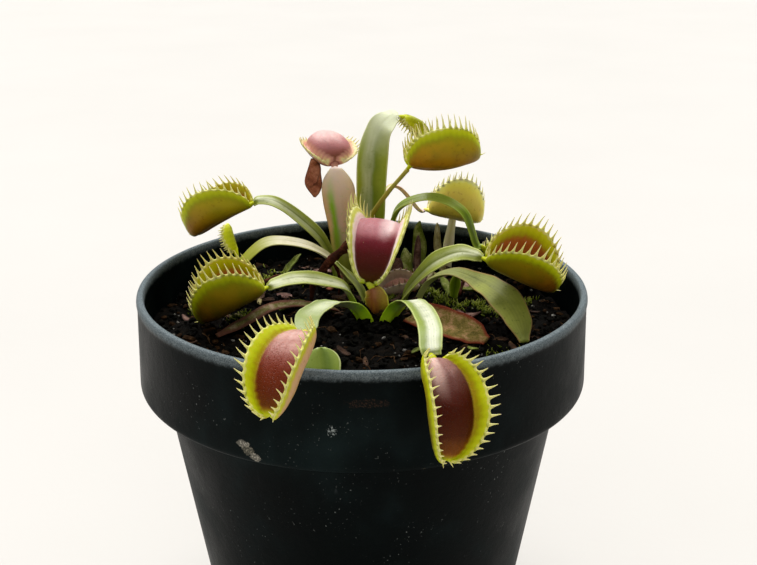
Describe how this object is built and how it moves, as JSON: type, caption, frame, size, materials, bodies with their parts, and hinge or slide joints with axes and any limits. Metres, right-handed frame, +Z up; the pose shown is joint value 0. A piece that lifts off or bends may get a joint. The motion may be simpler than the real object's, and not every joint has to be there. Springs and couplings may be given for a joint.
{
  "type": "potted venus flytrap",
  "caption": "Small carnivorous plant with toothed snap traps on leafy stalks, growing in dark potting mix in a tapered black plastic nursery pot with a deep rim band",
  "frame": {"origin": "the centre of the pot's underside, on the surface that it stands on", "axes": "+Z is up, out of the pot's mouth; +Y points away from the picture's camera, so the long front traps hang over the rim towards -Y; +X is to the right in the picture"},
  "size_m": [0.12, 0.1381, 0.1509],
  "materials": {
    "pot_plastic": "satin, dusty, with a worn lip",
    "potting_mix": "crumbly and damp",
    "leaf_green": "satin living leaf",
    "leaf_olive": "satin ageing leaf",
    "trap_green": "satin living trap with a red mouth",
    "pale_trap": "satin pale trap",
    "dead_leaf": "dry and wrinkled"
  },
  "bodies": {
    "root": {"pot": "pot_plastic", "soil": "potting_mix", "stalk_front_right": "leaf_green", "stalk_front_left": "leaf_green", "stalk_centre": "leaf_olive", "stalk_left": "leaf_green", "stalk_right": "leaf_green", "stalk_back_tall": "leaf_green", "stalk_back_broad": "leaf_green", "stalk_back_left": "leaf_olive", "stalk_far_left": "leaf_green", "stalk_mid_left": "leaf_green", "stalk_mid_right": "leaf_green", "stalk_back_right": "leaf_olive", "stalk_young_left": "leaf_green", "stalk_drooping": "leaf_olive", "stalk_old_left": "dead_leaf", "stalk_dead_right": "dead_leaf", "stalk_seedling": "leaf_green", "stalk_old_back": "leaf_olive", "stalk_young_right": "leaf_green", "trap_front_right": "trap_green", "trap_front_left": "trap_green", "trap_centre": "trap_green", "trap_left": "trap_green", "trap_right": "trap_green", "trap_back_tall": "trap_green", "trap_back_broad": "trap_green", "trap_back_left": "trap_green", "trap_far_left": "trap_green", "trap_mid_left": "trap_green", "trap_mid_right": "trap_green", "trap_back_right": "pale_trap", "trap_withered": "dead_leaf"}
  },
  "joints": []
}
